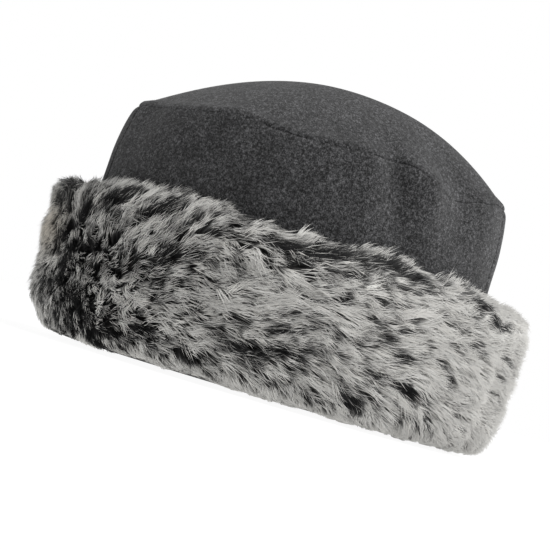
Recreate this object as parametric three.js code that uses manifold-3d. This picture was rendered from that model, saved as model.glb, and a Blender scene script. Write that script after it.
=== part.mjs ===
// A winter hat of charcoal wool fleece with a deep fur cuff, in millimetres, +Z up, standing on z = 0.
// The crown is a domed tip sewn to a side band of two panels, front and back, each a cloth wall.
// The cuff is two fur panels that wrap the lower band. Their backing passes under the band's hem,
// and the pile stands out from it in locks that run round the hat to the right.
// The origin is on the ground under the middle of the cuff, and the front panels face -Y.
// Angles go round the hat in degrees: 0 is its right end, -90 the middle of the front.
import * as THREE from "three";
import { mergeVertices } from "three/addons/utils/BufferGeometryUtils.js";
import Module from "manifold-3d";

const wasm = await Module();
wasm.setup();

const DEGREE = Math.PI / 180;

// The crown's cloth, and its oval outside, as the hat stands by itself.
const CLOTH = 2;
const CROWN_LENGTH = 200;
const CROWN_WIDTH = 176;
const OVAL = CROWN_WIDTH / CROWN_LENGTH;
const HEM_HEIGHT = 3;
const SEAM_HEIGHT = 122.5;
const DOME_RISE = 36;
const DOME_FULLNESS = 2.05; // power of the dome's curve: 2 is round, more is flatter on top
const DOME_FULLER_RIGHT = 0.3; // added to it at the right end, and taken from it at the left
const CROWN_BACKSET = 2.5; // how far the band's foot lies to the left of the cuff's middle
const CROWN_LEAN = 2.5; // how far the tip's seam lies to the right of the band's foot
const GAP = 0.3; // between pieces that touch

// The panels meet in two upright seams, turned this far from the ends of the oval towards the front.
const CROWN_SEAM_TURN = 15;
const CUFF_SEAM_TURN = 25;
const SEAM_TUCK = 1.1; // how deep cloth turns in at an upright seam
const SEAM_TUCK_SPREAD = 1.2; // over how many degrees

// The cuff's pile.
const CUFF_HEIGHT = 76;
const PILE_LIFT = 4.2; // how far a lock's tip stands off the body of the fur
const LOCK_LENGTH = 32;
const LOCK_WIDTH = 21;
const LOCK_SPACING = 27;
const SEAM_DIP = 0.16; // share of its thickness that the fur loses at a seam
const SEAM_DIP_SPREAD = 4; // over how many degrees

// The side band from its hem to the seam at the tip: the outer and inner half-length of the oval.
const BAND_ROWS = [
  { height: HEM_HEIGHT, outer: 100, inner: 98 },
  { height: 45, outer: 100, inner: 98 },
  { height: 84, outer: 100, inner: 98 },
  { height: 98, outer: 99.2, inner: 97.2 },
  { height: 109, outer: 98, inner: 96 },
  { height: 116.5, outer: 96.6, inner: 94.5 },
  { height: 120.3, outer: 95.5, inner: 93.2 },
  { height: 121.8, outer: 94.2, inner: 91.9 },
  { height: SEAM_HEIGHT - GAP / 2, outer: 92.4, inner: 90.6 },
];

// The domed tip from its tucked edge to the middle: half-lengths of the oval as above. The first two
// rows are the cloth's turn into the seam, at their own lift over it. The others follow the dome.
const TIP_ROWS = [
  { outer: 92.3, inner: 90.7, outerLift: GAP / 2, innerLift: GAP / 2 },
  { outer: 93.3, inner: 89.9, outerLift: 1.5, innerLift: 0.9 },
  { outer: 89, inner: 86, outerLift: null, innerLift: null },
  { outer: 80, inner: 78, outerLift: null, innerLift: null },
  { outer: 64, inner: 63, outerLift: null, innerLift: null },
  { outer: 44, inner: 43.5, outerLift: null, innerLift: null },
  { outer: 22, inner: 22, outerLift: null, innerLift: null },
  { outer: 0, inner: 0, outerLift: null, innerLift: null },
];

// The seam at the tip isn't level: it rises and dips as it goes round. The wave fades out away from
// it, as a power of the height share down the band and of the half-length share up the dome.
const WAVE_FADE = { band: 6, dome: 4 };
const SEAM_WAVE = [
  { at: -180, rise: 0 },
  { at: -165, rise: 0.5 },
  { at: -143, rise: 1.3 },
  { at: -128, rise: 0.8 },
  { at: -119, rise: 4.6 },
  { at: -106, rise: 1.6 },
  { at: -90, rise: 2.4 },
  { at: -74, rise: 1.2 },
  { at: -64, rise: 3.2 },
  { at: -56, rise: -0.4 },
  { at: -48, rise: -2.6 },
  { at: -37, rise: -4.4 },
  { at: -20, rise: -2.4 },
  { at: 0, rise: 0 },
  { at: 30, rise: 1.2 },
  { at: 60, rise: -1.2 },
  { at: 90, rise: 1.8 },
  { at: 120, rise: -0.8 },
  { at: 150, rise: 1.2 },
  { at: 180, rise: 0 },
];

// Soft folds down the band: depth is inwards, and slant turns a fold as it goes down.
const FOLDS = [
  { at: -165, spread: 5, depth: -0.8, slant: 0 },
  { at: -152, spread: 7, depth: 2.2, slant: 0 },
  { at: -119, spread: 5, depth: 1.3, slant: -0.05 },
  { at: -92, spread: 12, depth: -0.8, slant: 0 },
  { at: -76, spread: 7, depth: -1.2, slant: 0.1 },
  { at: -65, spread: 6, depth: 3.4, slant: 0.26 },
  { at: -52, spread: 6, depth: -1.6, slant: 0.2 },
  { at: -34, spread: 8, depth: 3, slant: 0.05 },
  { at: 38, spread: 9, depth: 2, slant: 0 },
  { at: 62, spread: 8, depth: -1, slant: 0.1 },
  { at: 84, spread: 10, depth: 1.6, slant: -0.1 },
  { at: 118, spread: 9, depth: 2.2, slant: 0.1 },
  { at: 150, spread: 9, depth: 1.4, slant: 0 },
];
const FOLD_FOOT = 80; // folds start above this height
const FOLD_FULL = 114; // and are full above this one
const FOLD_FADE = 8; // power of the half-length share at which they fade out over the dome

// Section of the fur's body, from its flat foot round the outside to the top edge beside the crown.
// Out is the distance from the crown's wall. Lining is the backing's side, which lips in under the hem.
const CUFF_ROWS = [
  { out: 1.5, height: 0, liningOut: -2, liningHeight: 0 },
  { out: 7.5, height: 0, liningOut: -2, liningHeight: HEM_HEIGHT - GAP },
  { out: 12.5, height: 3.4, liningOut: GAP, liningHeight: HEM_HEIGHT - GAP },
  { out: 17.4, height: 12, liningOut: GAP, liningHeight: 12 },
  { out: 20.6, height: 27, liningOut: GAP, liningHeight: 27 },
  { out: 21.6, height: 44, liningOut: GAP, liningHeight: 44 },
  { out: 21.4, height: 60, liningOut: GAP, liningHeight: 58 },
  { out: 19.2, height: 69.5, liningOut: GAP, liningHeight: 65 },
  { out: 14, height: 75, liningOut: GAP, liningHeight: 70 },
  { out: 5, height: CUFF_HEIGHT, liningOut: GAP, liningHeight: 73.5 },
];

// Rows of locks: where they are rooted up the section, which way they run (0 is level, to the right),
// and how long and how lifted they are against the driving sizes.
const LOCK_ROWS = [
  { height: 12, run: -34, length: 0.85, lift: 0.5 },
  { height: 28, run: -20, length: 1, lift: 1 },
  { height: 44, run: -8, length: 1.05, lift: 1 },
  { height: 60, run: 10, length: 1, lift: 0.9 },
  { height: 72.5, run: 40, length: 0.8, lift: 0.9 },
];

// Value of a table's column at a place, easing from row to row.
function ease(rows, key, column, place) {
  const after = rows.findIndex((row) => row[key] > place);
  if (after < 0) return rows.at(-1)[column];
  if (after === 0) return rows[0][column];
  const low = rows[after - 1];
  const high = rows[after];
  const share = (place - low[key]) / (high[key] - low[key]);
  return THREE.MathUtils.lerp(low[column], high[column], share * share * (3 - 2 * share));
}

// An angle brought to the range from -180 to 180 degrees.
const turned = (degrees) => THREE.MathUtils.euclideanModulo(degrees + 180, 360) - 180;
const bell = (offset, spread) => Math.exp(-((offset / spread) ** 2));

// How far the band is pushed in at an angle and height, by folds and by the two upright seams.
function inset(degrees, height) {
  const strength = THREE.MathUtils.smoothstep(height, FOLD_FOOT, FOLD_FULL);
  let depth = 0;
  for (const fold of FOLDS) {
    const axis = fold.at + fold.slant * (SEAM_HEIGHT - height);
    depth += fold.depth * strength * bell(turned(degrees - axis), fold.spread);
  }
  for (const seam of [-CROWN_SEAM_TURN, CROWN_SEAM_TURN - 180])
    depth += SEAM_TUCK * bell(turned(degrees - seam), SEAM_TUCK_SPREAD);
  return depth;
}

// A point of the crown on the oval of a half-length, at a nominal height, before folds.
function ovalPoint(degrees, halfLength, height) {
  const lean = CROWN_LEAN * THREE.MathUtils.smoothstep(height, CUFF_HEIGHT, SEAM_HEIGHT);
  const angle = degrees * DEGREE;
  return new THREE.Vector3(
    halfLength * Math.cos(angle) - CROWN_BACKSET + lean,
    halfLength * OVAL * Math.sin(angle),
    height,
  );
}

const seamRise = (degrees) => ease(SEAM_WAVE, "at", "rise", turned(degrees));

// A point of the band's outer or inner side. The seam's wave fades out down the band.
function bandPoint(degrees, row, side) {
  const point = ovalPoint(degrees, row[side] - inset(degrees, row.height), row.height);
  point.z += seamRise(degrees) * (row.height / SEAM_HEIGHT) ** WAVE_FADE.band;
  return point;
}

// A point of the tip's outer or inner side. The rim's wave and folds fade to the middle.
function tipPoint(degrees, row, side) {
  const halfLength = row[side];
  const rim = TIP_ROWS[1][side];
  const share = halfLength / rim;
  const lift = row[side + "Lift"];
  const pushed = inset(degrees, SEAM_HEIGHT) * share ** FOLD_FADE;
  const point = ovalPoint(degrees, halfLength - pushed, SEAM_HEIGHT);
  const curve = DOME_FULLNESS + DOME_FULLER_RIGHT * Math.cos(degrees * DEGREE);
  const rimLift = TIP_ROWS[1][side + "Lift"];
  const top = DOME_RISE - (side === "inner" ? CLOTH : 0);
  const dome = rimLift + (top - rimLift) * (1 - share ** curve);
  point.z += seamRise(degrees) * share ** WAVE_FADE.dome + (lift ?? dome);
  return point;
}

// The wall of the crown where the cuff lies on it, and the direction straight out of it in plan.
function wallFrame(degrees) {
  const angle = degrees * DEGREE;
  const halfLength = CROWN_LENGTH / 2;
  const halfWidth = CROWN_WIDTH / 2;
  const foot = ovalPoint(degrees, halfLength, 0);
  const out = new THREE.Vector3(Math.cos(angle) / halfLength, Math.sin(angle) / halfWidth, 0);
  return { foot, out: out.normalize() };
}

const CUFF_SEAMS = [-CUFF_SEAM_TURN, CUFF_SEAM_TURN - 180];
const CUFF_THICKNESS = Math.max(...CUFF_ROWS.map((row) => row.out));
const CUFF_GIRTH = (CROWN_LENGTH / 2 + CUFF_THICKNESS) * DEGREE; // millimetres round it in a degree

// A point of the cuff, so far out of the crown's wall. Its outside is centred, so it is a little
// thicker at the right than at the left, and it is pinched at the seams.
function cuffPoint(degrees, out, height) {
  const { foot, out: away } = wallFrame(degrees);
  const pinch = CUFF_SEAMS.reduce(
    (sum, seam) => sum + SEAM_DIP * bell(turned(degrees - seam), SEAM_DIP_SPREAD),
    0,
  );
  const beyond = Math.max(out - GAP, 0);
  const share = beyond / CUFF_THICKNESS;
  const point = foot.clone().addScaledVector(away, out - beyond * pinch);
  point.x += CROWN_BACKSET * share;
  point.z = height;
  return point;
}

// A closed solid between an outer and an inner grid of points, over columns and rows. A ring joins
// its last column to its first, and a pole brings the last row to one point on each side.
function sheetSolid(outerAt, innerAt, columns, rows, { ring = false, pole = false } = {}) {
  const positions = [];
  const place = [outerAt, innerAt].map((at) =>
    Array.from({ length: rows }, (_, j) =>
      Array.from({ length: columns }, (_, i) => {
        if (pole && j === rows - 1 && i > 0) return positions.length / 3 - 1;
        positions.push(...at(i, j));
        return positions.length / 3 - 1;
      }),
    ),
  );
  const faces = [];
  const quad = (a, b, c, d) => {
    for (const face of [[a, b, c], [a, c, d]])
      if (new Set(face).size === 3) faces.push(...face);
  };
  const [outer, inner] = place;
  const spans = ring ? columns : columns - 1;
  for (let i = 0; i < spans; i += 1) {
    const k = (i + 1) % columns;
    for (let j = 0; j < rows - 1; j += 1) {
      quad(outer[j][i], outer[j][k], outer[j + 1][k], outer[j + 1][i]);
      quad(inner[j][k], inner[j][i], inner[j + 1][i], inner[j + 1][k]);
    }
    quad(inner[0][i], inner[0][k], outer[0][k], outer[0][i]);
    if (!pole) quad(outer[rows - 1][i], outer[rows - 1][k], inner[rows - 1][k], inner[rows - 1][i]);
  }
  if (!ring)
    for (let j = 0; j < rows - 1; j += 1) {
      const last = columns - 1;
      quad(inner[j][0], outer[j][0], outer[j + 1][0], inner[j + 1][0]);
      quad(outer[j][last], inner[j][last], inner[j + 1][last], outer[j + 1][last]);
    }
  const geometry = new THREE.BufferGeometry();
  geometry.setAttribute("position", new THREE.Float32BufferAttribute(positions, 3));
  geometry.setIndex(faces);
  return geometry;
}

// Angles of the columns from one upright seam to the next, with close ones where the cloth tucks in.
function seamToSeam(from, to, step, tuck) {
  const spans = Math.round((to - from - 2 * tuck) / step);
  const between = Array.from({ length: spans + 1 }, (_, i) =>
    THREE.MathUtils.lerp(from + tuck, to - tuck, i / spans),
  );
  return tuck > 0 ? [from, from + tuck / 2, ...between, to - tuck / 2, to] : between;
}

const CROWN_FRONT = seamToSeam(CROWN_SEAM_TURN - 180, -CROWN_SEAM_TURN, 5, 2.4);
const CROWN_BACK = seamToSeam(-CROWN_SEAM_TURN, CROWN_SEAM_TURN + 180, 7.5, 2.4);
const HALF_GAP_TURN = GAP / CROWN_LENGTH / DEGREE; // half the gap at an upright seam, as an angle

function crownPanel(seamAngles) {
  const angles = [...seamAngles];
  angles[0] += HALF_GAP_TURN;
  angles[angles.length - 1] -= HALF_GAP_TURN;
  const at = (side) => (i, j) => bandPoint(angles[i], BAND_ROWS[j], side);
  return sheetSolid(at("outer"), at("inner"), angles.length, BAND_ROWS.length);
}

function crownTip() {
  const angles = [...CROWN_FRONT.slice(0, -1), ...CROWN_BACK.slice(0, -1)];
  const at = (side) => (i, j) => tipPoint(angles[i], TIP_ROWS[j], side);
  return sheetSolid(at("outer"), at("inner"), angles.length, TIP_ROWS.length, {
    ring: true,
    pole: true,
  });
}

// The same numbers in the same order on every run, from 0 to 1, by repeated multiplication.
function seededRandom(seed) {
  const multiplier = 16807;
  const modulus = 2 ** 31 - 1;
  let state = seed;
  return () => {
    state = (state * multiplier) % modulus;
    return state / modulus;
  };
}

// The fur section's outline as a curve in the plane of distance out and height.
const CUFF_OUTLINE = new THREE.SplineCurve(
  CUFF_ROWS.slice(1).map((row) => new THREE.Vector2(row.out, row.height)),
);
const OUTLINE_LENGTH = CUFF_OUTLINE.getLength();

// How far along the outline a height is reached.
function alongAtHeight(height) {
  const steps = 200;
  for (let i = 0; i <= steps; i += 1)
    if (CUFF_OUTLINE.getPointAt(i / steps).y >= height) return (i / steps) * OUTLINE_LENGTH;
  return OUTLINE_LENGTH;
}

// A point so far off the fur's body, at an angle and a distance along the outline.
function furPoint(degrees, along, lift) {
  const share = THREE.MathUtils.clamp(along / OUTLINE_LENGTH, 0, 1);
  const spot = CUFF_OUTLINE.getPointAt(share);
  const tangent = CUFF_OUTLINE.getTangentAt(share);
  const past = along - share * OUTLINE_LENGTH;
  return cuffPoint(
    degrees,
    spot.x + tangent.y * lift + tangent.x * past,
    spot.y - tangent.x * lift + tangent.y * past,
  );
}

// One lock of pile: a blade that leaves the fur's body, is widest past its middle and ends in a lifted
// point. Its corners are at shares of its length, so far to its side and off the body.
function lockSolid(degrees, along, run, length, width, lift) {
  const point = (share, aside, height) => {
    const forward = length * share;
    const round = forward * Math.cos(run) - aside * Math.sin(run);
    const up = forward * Math.sin(run) + aside * Math.cos(run);
    return furPoint(degrees + round / CUFF_GIRTH, along + up, height);
  };
  const [root, low, keel, high, ridge, tip] = [0, 1, 2, 3, 4, 5];
  const corners = [
    point(0, 0, -3),
    point(0.55, -width / 2, -1.2),
    point(0.5, 0, -4),
    point(0.55, width / 2, -1.2),
    point(0.6, 0, lift * 0.8),
    point(1, 0, lift),
  ];
  const faces = [
    [root, keel, low],
    [root, high, keel],
    [root, low, ridge],
    [root, ridge, high],
    [tip, low, keel],
    [tip, keel, high],
    [tip, ridge, low],
    [tip, high, ridge],
  ];
  const geometry = new THREE.BufferGeometry();
  geometry.setAttribute(
    "position",
    new THREE.Float32BufferAttribute(corners.flatMap((corner) => corner.toArray()), 3),
  );
  geometry.setIndex(faces.flat());
  return geometry;
}

// A three.js geometry as a solid to join or cut with.
function toSolid(geometry) {
  const bare = geometry.clone();
  bare.deleteAttribute("normal");
  bare.deleteAttribute("uv");
  const merged = mergeVertices(bare, 1e-4);
  const vertProperties = new Float32Array(merged.attributes.position.array);
  const triVerts = new Uint32Array(merged.index.array);
  return new wasm.Manifold(new wasm.Mesh({ numProp: 3, vertProperties, triVerts }));
}

// The outermost shell of a solid, so that a pocket shut in between locks is filled.
function toGeometry(solid) {
  const { vertProperties, triVerts } = solid.getMesh();
  const leader = Array.from({ length: vertProperties.length / 3 }, (_, i) => i);
  const leaderOf = (vertex) => {
    let top = vertex;
    while (leader[top] !== top) top = leader[top];
    leader[vertex] = top;
    return top;
  };
  for (let i = 0; i < triVerts.length; i += 3)
    for (const k of [1, 2]) leader[leaderOf(triVerts[i + k])] = leaderOf(triVerts[i]);
  const shells = new Map();
  for (let i = 0; i < triVerts.length; i += 3) {
    const shell = leaderOf(triVerts[i]);
    if (!shells.has(shell)) shells.set(shell, []);
    shells.get(shell).push(triVerts[i], triVerts[i + 1], triVerts[i + 2]);
  }
  const largest = [...shells.values()].sort((a, b) => b.length - a.length)[0];
  const geometry = new THREE.BufferGeometry();
  geometry.setAttribute("position", new THREE.BufferAttribute(vertProperties, 3));
  geometry.setIndex(largest);
  return geometry;
}

// The space that the crown's band takes, with the gap that fur keeps to it.
function crownClearance() {
  const angles = Array.from({ length: 120 }, (_, i) => i * 3);
  const heights = [HEM_HEIGHT - GAP, 45, 84, 92, 100];
  const outer = (i, j) => {
    const height = heights[j];
    const half = ease(BAND_ROWS, "height", "outer", height) + GAP;
    return ovalPoint(angles[i], half, height);
  };
  const inner = (i, j) => ovalPoint(angles[i], CROWN_LENGTH / 4, heights[j]);
  return toSolid(sheetSolid(outer, inner, angles.length, heights.length, { ring: true }));
}

// A prism over the front of the hat, whose sides lie on the cuff's two seams, moved apart by a margin.
function frontPrism(margin) {
  const reach = 80; // past the fur's outside
  const inward = -40; // towards the middle of the hat, clear of the cuff
  const beyond = CROWN_WIDTH * 1.2; // in front of the whole hat
  const [right, left] = CUFF_SEAMS.map((degrees) => wallFrame(degrees));
  const along = (frame, distance, aside) =>
    new THREE.Vector2(
      frame.foot.x + frame.out.x * distance - frame.out.y * aside,
      frame.foot.y + frame.out.y * distance + frame.out.x * aside,
    );
  const shape = new THREE.Shape([
    along(left, inward, -margin),
    along(left, reach, -margin),
    new THREE.Vector2(-CROWN_LENGTH, -beyond),
    new THREE.Vector2(CROWN_LENGTH, -beyond),
    along(right, reach, margin),
    along(right, inward, margin),
  ]);
  const prism = new THREE.ExtrudeGeometry(shape, { depth: CUFF_HEIGHT * 2, bevelEnabled: false });
  prism.translate(0, 0, -CUFF_HEIGHT / 2);
  return toSolid(prism);
}

function underGround() {
  const block = new THREE.BoxGeometry(CROWN_LENGTH * 2, CROWN_LENGTH * 2, CUFF_HEIGHT);
  block.translate(0, 0, -CUFF_HEIGHT / 2);
  return toSolid(block);
}

// One fur panel between two seams: its body, with every lock of its rows joined on, and each lock's
// place, direction and size varied a little.
function cuffPanel(from, to, step, seed, keepFront) {
  const random = seededRandom(seed);
  const vary = (amount) => (random() * 2 - 1) * amount;
  const angles = seamToSeam(from, to, step, 0);
  const bodyPoint = (i, j) => cuffPoint(angles[i], CUFF_ROWS[j].out, CUFF_ROWS[j].height);
  const liningPoint = (i, j) =>
    cuffPoint(angles[i], CUFF_ROWS[j].liningOut, CUFF_ROWS[j].liningHeight);
  let fur = toSolid(sheetSolid(bodyPoint, liningPoint, angles.length, CUFF_ROWS.length));
  const locks = [];
  LOCK_ROWS.forEach((row, rowNumber) => {
    const count = Math.round(((to - from) * CUFF_GIRTH) / LOCK_SPACING);
    for (let i = 0; i < count; i += 1) {
      const place = i + 0.15 + 0.5 * (rowNumber % 2) + vary(0.16);
      const degrees = from + (place * (to - from)) / count;
      const along = alongAtHeight(row.height) + vary(2.2);
      const run = (row.run + vary(13)) * DEGREE;
      const length = LOCK_LENGTH * row.length * (1 + vary(0.16));
      const width = LOCK_WIDTH * (1 + vary(0.15));
      const lift = PILE_LIFT * row.lift * (1 + vary(0.2));
      locks.push(toSolid(lockSolid(degrees, along, run, length, width, lift)));
    }
  });
  fur = wasm.Manifold.union([fur, ...locks]);
  fur = fur.subtract(crownClearance()).subtract(underGround());
  fur = keepFront ? fur.intersect(frontPrism(-GAP / 2)) : fur.subtract(frontPrism(GAP / 2));
  return toGeometry(fur);
}

const fleece = new THREE.MeshStandardMaterial({ color: 0x4b4b4d, roughness: 0.95, metalness: 0 });
const fur = new THREE.MeshStandardMaterial({ color: 0x8f8e8a, roughness: 0.85, metalness: 0 });

function piece(name, geometry, material) {
  const mesh = new THREE.Mesh(geometry, material);
  mesh.name = name;
  return mesh;
}

const crown = new THREE.Group();
crown.add(piece("crown_tip", crownTip(), fleece));
crown.add(piece("crown_front_panel", crownPanel(CROWN_FRONT), fleece));
crown.add(piece("crown_back_panel", crownPanel(CROWN_BACK), fleece));

const cuff = new THREE.Group();
const [rightSeam, leftSeam] = CUFF_SEAMS;
cuff.add(piece("cuff_front_fur", cuffPanel(leftSeam, rightSeam, 8, 7, true), fur));
cuff.add(piece("cuff_back_fur", cuffPanel(rightSeam, leftSeam + 360, 9, 11, false), fur));

const hat = new THREE.Group();
hat.add(crown, cuff);
const middle = new THREE.Box3().setFromObject(hat).getCenter(new THREE.Vector3());
hat.position.set(-middle.x, -middle.y, 0);

export default hat;
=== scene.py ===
import math

import bpy
import numpy as np
from mathutils import Matrix, Vector


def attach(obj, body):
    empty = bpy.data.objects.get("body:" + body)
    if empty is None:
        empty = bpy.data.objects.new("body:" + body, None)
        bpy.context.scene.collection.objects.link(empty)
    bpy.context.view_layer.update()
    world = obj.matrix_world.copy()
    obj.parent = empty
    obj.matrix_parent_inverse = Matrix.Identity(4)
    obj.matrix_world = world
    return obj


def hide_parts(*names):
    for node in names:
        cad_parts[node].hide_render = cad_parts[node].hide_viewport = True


# A winter hat: a domed crown of charcoal wool fleece with a deep turned-up cuff of frosted fur.
# Shapes are worked out in millimetres and put into meshes in metres. Angles go round the hat in
# degrees: 0 is its right end, -90 the middle of the front.
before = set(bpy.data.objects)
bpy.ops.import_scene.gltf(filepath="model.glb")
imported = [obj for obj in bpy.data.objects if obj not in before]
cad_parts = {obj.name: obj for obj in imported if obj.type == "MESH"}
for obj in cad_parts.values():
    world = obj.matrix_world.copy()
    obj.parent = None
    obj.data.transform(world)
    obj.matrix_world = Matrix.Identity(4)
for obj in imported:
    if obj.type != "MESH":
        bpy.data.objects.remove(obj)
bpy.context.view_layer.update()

MM = 0.001


def columns(names, rows):
    """A table as arrays, one for each named column."""
    return dict(zip(names.split(), np.array(rows, float).T))


# The crown's cloth, as it is cut and sewn.
CROWN_HALF_LENGTH = 100
CROWN_HALF_WIDTH = 88
OVAL = CROWN_HALF_WIDTH / CROWN_HALF_LENGTH
HEM_HEIGHT = 3
SEAM_HEIGHT = 122.5
DOME_RISE = 36
DOME_FULLNESS = 2.12
DOME_FULLER_RIGHT = 0.3
DOME_RIM_LIFT = 1.5
CLOTH = 2
CROWN_BACKSET = 2.5
CROWN_LEAN = 2.5
LEAN_FOOT = 76
GAP = 0.3
CROWN_SEAMS = (-165, -15)
SEAM_TUCKS = (0.4, 1.1)
SEAM_TUCK_SPREAD = 1.2

# The side band from its hem up to the seam at the tip: half-lengths of its oval.
BAND_ROWS = [
    # height, outer, inner
    (HEM_HEIGHT, 100, 98), (45, 100, 98), (84, 100, 98), (98, 99.2, 97.2), (109, 98.1, 96.1),
    (116.5, 96.8, 94.7), (120, 96, 93.6), (SEAM_HEIGHT, 95, 92.2),
]

# The tip's rounded rim over the seam, before the dome's own curve takes over: half-lengths and lifts.
TIP_RIM_ROWS = [
    # outer, outer lift, inner, inner lift
    (94.6, -0.4, 92.2, -0.1), (94.9, 0.3, 91.4, 0.2), (94.4, 1.4, 90.4, 0.6), (93, 2.9, 89.4, 1.2),
]

WAVE_FADE = {"band": 6, "dome": 4}
SEAM_WAVE = columns("at rise", [
    (-180, -1.2), (-165, -1.5), (-154, -1.6), (-138, -1), (-127, 0.6), (-119, 2.4), (-112, 1.4),
    (-106, -0.2), (-95, -0.7), (-90, -0.1), (-86, 0), (-82, 0.9), (-77, 1.1), (-74, 1.2), (-65, 2),
    (-56, -1.8), (-48, -5.6), (-41, -5.8), (-31, -2.2), (-22, 0), (0, 0), (30, 1.2), (60, -1.2),
    (90, 1.8), (120, -0.8), (150, 0.6), (180, -1.2),
])

# How far the seam at the tip sinks into the cloth, and how far up and down that reaches.
SEAM_SINK = columns("at deep", [
    (-180, 0.6), (-170, 0.9), (-164, 0), (-113, 0), (-109, 0.8), (-96, 0.9), (-91, 0.25), (-86, 0.9),
    (-82, 0.2), (-79, 0.3), (-76, 1.1), (-66, 1.2), (-61, 0), (-46, 0), (-42, 1.1), (-20, 1.2),
    (0, 0.7), (40, 0.5), (90, 0.8), (140, 0.5), (180, 0.5),
])
SINK_REACH = 1.1

# Where the seam doesn't sink, the tip's rim is filled out to the band's edge, so that no line shows.
# The filling grows downwards from its top, over its reach.
RIM_FILL = 0.42
RIM_FILL_TOP = 0.8
RIM_FILL_REACH = 1.2

# The dome's outside and inside: half-lengths that its rows and its curve start from.
DOME_OUTSIDE = (92.3, 93.3)
DOME_INSIDE = (89, 89.9)
DOME_ROW_STEPS = (0.03, 0.985)
DOME_ROW_POWER = 0.9
BAND_ROW_POWER = 1.6

# The band's shoulder at the left end is rounder than elsewhere.
SHOULDER = {"at": -174, "spread": 20, "depth": 0.8, "foot": 112, "power": 2.2}

# Soft folds down the band. Depth is inwards, and slant turns a fold as it goes down.
FOLDS = columns("at spread depth slant", [
    (-174, 14, -1.9, 0), (-152, 7, 2.2, 0), (-119, 5, 1.3, -0.05), (-92, 12, -0.8, 0),
    (-76, 7, -1.2, 0.1), (-69.5, 4.8, 6.4, 0.14), (-57.5, 5, -2.2, 0.12), (-42, 8, 4.6, 0.05),
    (38, 9, 2, 0), (62, 8, -1, 0.1), (84, 10, 1.6, -0.1), (118, 9, 2.2, 0.1), (150, 9, 1.4, 0),
])
FOLD_FOOT = 80
FOLD_FULL = 114
FOLD_FADE = 8

# Small puckers that the seam at the tip draws in the cloth, and the cloth's slight unevenness.
PUCKER_DEPTH = 0.55
PUCKERS_ROUND = 64
PUCKER_REACH = 9
WAVER_DEPTH = 0.5
WAVERS_ROUND = 26

# The cuff. Its outside is described by the line that the lying pile follows, from the foot round
# to where the topmost hair lies up against the crown.
CUFF_SEAMS = (-155, -25)
SEAM_DIP = 0.16
SEAM_DIP_SPREAD = 4
CUFF_THICKNESS = 21.6
PILE_OUTLINE = [
    # out from the crown's wall, height
    (6.5, 0.4), (12.3, 3.2), (17.2, 12), (20.4, 27), (21.4, 44), (21, 60), (18.6, 69.5), (14, 75.2),
    (8.4, 78.6), (4.2, 82), (1.9, 87), (1.2, 96),
]
PILE_DEPTH = 5.5
HEM_LIP = 2
LIP_LENGTH = 7
LIP_HEIGHT = 2.2
ROOTS_END = 79.5
BACKING_TOP = 73.5
LEFT_DRAW = 6.5
LEFT_DRAW_ROUND = (-174, 26)
LEFT_DRAW_UP = (3, 20)
LEFT_DRAW_OUT = 10

# How the pile keeps clear of the crown's wall, and over what reaches it bends off wall and ground.
WALL_CLEARANCE = 0.7
WALL_BEND = 0.6
GROUND_BEND = 0.4

# How much higher the cuff's top lies than its usual line, at the crown's wall and at its outer shoulder,
# and how much further out that shoulder stands.
TOP_RISE = columns("at inner outer wider", [
    (-180, -7, 3.5, 2.5), (-165, -7, 3.5, 2.5), (-152, -5, 2.5, 1.5), (-143, 0, 1, 0), (-90, 0, 0, 0),
    (-55, 0, 0, 0), (-38, -1, 0, 1), (-20, -3.5, -0.5, 2), (0, -3.5, -0.5, 2), (40, -2, 0, 1),
    (90, 0, 0, 0), (140, 0, 1, 0), (160, -4, 3, 1.5), (180, -7, 3.5, 2.5),
])
SHOULDER_OUT = (2, 20)
SHOULDER_HEIGHT = 72
SHOULDER_TALL = 9
RISE_UP = (44, 34)
LUMPS_OUT = 12

# Lumps and hollows in the cuff's two ends.
END_LUMPS = columns("at spread height tall out", [
    (-176, 24, 66, 5, 2), (-176, 24, 50, 5, 1.6), (-176, 24, 36, 5, -0.8), (-176, 24, 16, 8, 1.2),
    (-6, 32, 8, 8, 1.5),
])

# The pile's lower edge, which is uneven and touches the ground only here and there.
FOOT_WAVE = columns("at height", [
    (-180, 1), (-160, 1), (-150, 1.6), (-143, 1), (-136, 0), (-130, 0), (-126, 1.2), (-119, 1.4),
    (-113, 0.6), (-108, 1.6), (-103, 2.2), (-98, 0.8), (-88, 0.2), (-78, 0.6), (-66, 0.2), (-58, 0),
    (-53, 0.3), (-48, 0), (-42, 0.3), (-30, 0), (0, 0.4), (30, 1.2), (60, 0), (90, 1.4), (120, 0.2),
    (150, 1.6), (180, 1),
])
FOOT_NOTCHES = {"round": 104, "deep": 0.45}


def eased(share):
    """Three squares less two cubes of a share that is held between 0 and 1."""
    held = np.clip(share, 0, 1)
    return held * held * (3 - 2 * held)


def bell(offset, spread):
    """e to the minus square of the offset over the spread."""
    return np.exp(-((offset / spread) ** 2))


def turned(degrees):
    """Degrees brought to the range from -180 to 180."""
    return np.mod(degrees + 180, 360) - 180


def near(degrees, at, spread):
    """A bell round the hat over the turn from a place."""
    return bell(turned(degrees - at), spread)


def past(value, start, reach):
    """The eased share of a reach that a value has passed from its start."""
    return eased((value - start) / reach)


def unit(vectors):
    """Vectors over their lengths."""
    return vectors / np.maximum(np.linalg.norm(vectors, axis=-1, keepdims=True), 1e-9)


def softly_above(value, least, reach):
    """The value, bent smoothly so that it never falls under the least one: reach times the logarithm
    of one plus e to the power of the excess over the reach."""
    return least + reach * np.logaddexp(0, (value - least) / reach)


def eased_from(places, values, at):
    """Values of a table at places between its rows, easing from row to row."""
    low = np.clip(np.searchsorted(places, at, side="right") - 1, 0, len(places) - 2)
    share = eased((at - places[low]) / (places[low + 1] - places[low]))
    return values[low] * (1 - share) + values[low + 1] * share


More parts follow.
